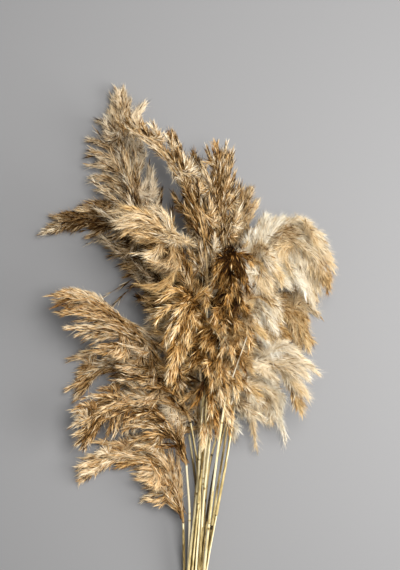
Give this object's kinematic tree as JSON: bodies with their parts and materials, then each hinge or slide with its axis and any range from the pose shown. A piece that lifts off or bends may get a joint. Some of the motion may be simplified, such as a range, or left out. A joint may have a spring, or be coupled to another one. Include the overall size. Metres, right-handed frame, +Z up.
{
  "type": "bundle of pampas grass",
  "caption": "Bundle of cut, dried pampas grass lying on its side: slender culms gathered near their cut ends and fanning out into drooping, feathery plumes.",
  "frame": {"origin": "on the surface that the bundle lies on, under the middle of its bounding box", "axes": "+Y along the bundle from the cut ends towards the plumes, +Z up from the surface, +X to the right as seen from above with the plumes pointing away"},
  "size_m": [0.3682, 0.7194, 0.1865],
  "materials": {
    "culm": "dry straw, slightly glossy",
    "plume_brown": "dry, dull, fibrous",
    "plume_gold": "dry, dull, fibrous",
    "plume_cream": "dry, silky, fibrous"
  },
  "bodies": {
    "root": {"culm_crown": "culm", "culm_arch": "culm", "culm_spire_left": "culm", "culm_spire_thin": "culm", "culm_spire_centre": "culm", "culm_spire_right": "culm", "culm_left_upper": "culm", "culm_left_high": "culm", "culm_left_middle": "culm", "culm_left_low": "culm", "culm_left_lowest": "culm", "culm_right_dome": "culm", "culm_right_middle": "culm", "culm_right_low": "culm", "culm_right_lowest": "culm", "culm_front_hanging": "culm", "culm_front_left": "culm", "culm_front_centre": "culm", "culm_front_right": "culm", "culm_centre_low": "culm", "plume_crown": "plume_brown", "plume_arch": "plume_brown", "plume_spire_left": "plume_brown", "plume_spire_thin": "plume_brown", "plume_spire_centre": "plume_brown", "plume_spire_right": "plume_cream", "plume_left_upper": "plume_brown", "plume_left_high": "plume_gold", "plume_left_middle": "plume_gold", "plume_left_low": "plume_gold", "plume_left_lowest": "plume_gold", "plume_right_dome": "plume_cream", "plume_right_middle": "plume_cream", "plume_right_low": "plume_cream", "plume_right_lowest": "plume_cream", "plume_front_hanging": "plume_gold", "plume_front_left": "plume_cream", "plume_front_centre": "plume_gold", "plume_front_right": "plume_cream", "plume_centre_low": "plume_brown"}
  },
  "joints": []
}
